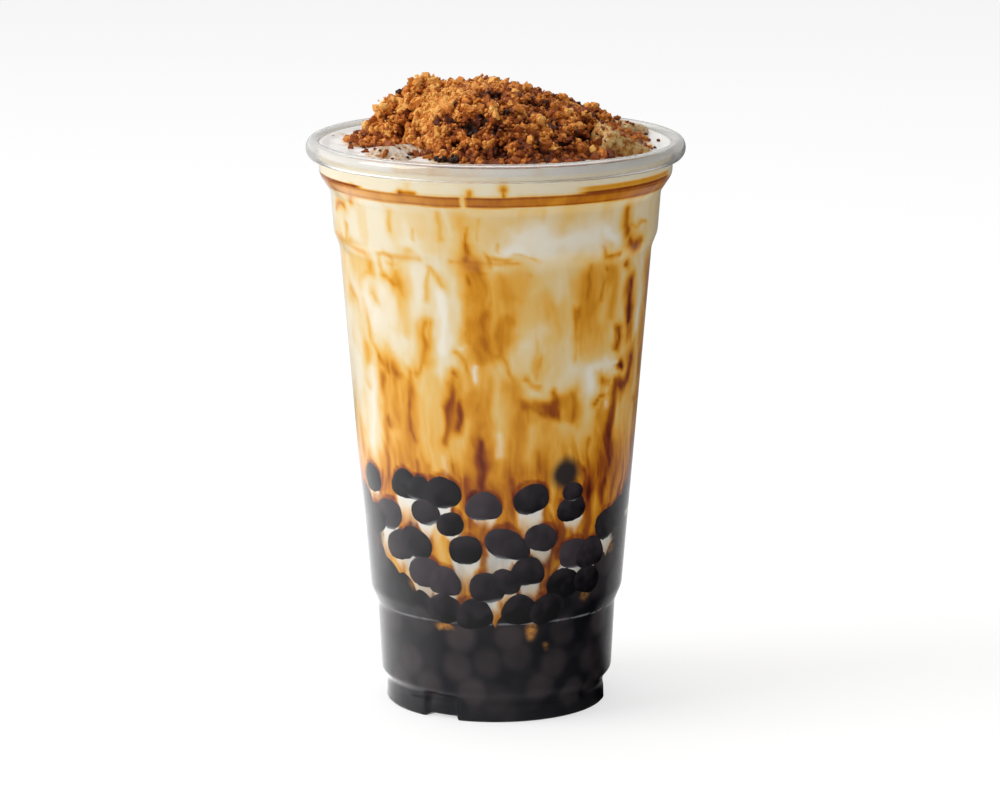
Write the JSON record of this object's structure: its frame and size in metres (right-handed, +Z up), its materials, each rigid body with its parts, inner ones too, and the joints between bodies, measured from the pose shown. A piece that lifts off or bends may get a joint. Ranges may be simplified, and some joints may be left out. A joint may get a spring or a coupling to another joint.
{
  "type": "bubble tea",
  "caption": "Brown sugar bubble tea in a clear stepped plastic cup: milk tea over dark tapioca pearls, topped with ice and a heap of crumbled sugar.",
  "frame": {"origin": "middle of the cup's foot, on the surface that the cup stands on", "axes": "+Z up along the cup's axis; -Y is the side shown in the picture, +X to the right of it"},
  "size_m": [0.098, 0.098, 0.164],
  "materials": {
    "clear_plastic": "clear thermoformed plastic, smooth and glossy",
    "tapioca": "dark brown pearls in syrup, glossy",
    "milk_tea": "cream milk streaked with amber syrup",
    "brown_sugar": "golden brown crumbs, rough",
    "ice": "cloudy ice, wet"
  },
  "bodies": {
    "root": {"cup": "clear_plastic", "pearl_bed": "tapioca", "milk": "milk_tea", "sugar_heap": "brown_sugar", "ice_right": "ice", "ice_back": "ice", "ice_left": "ice", "ice_front": "ice"}
  },
  "joints": []
}
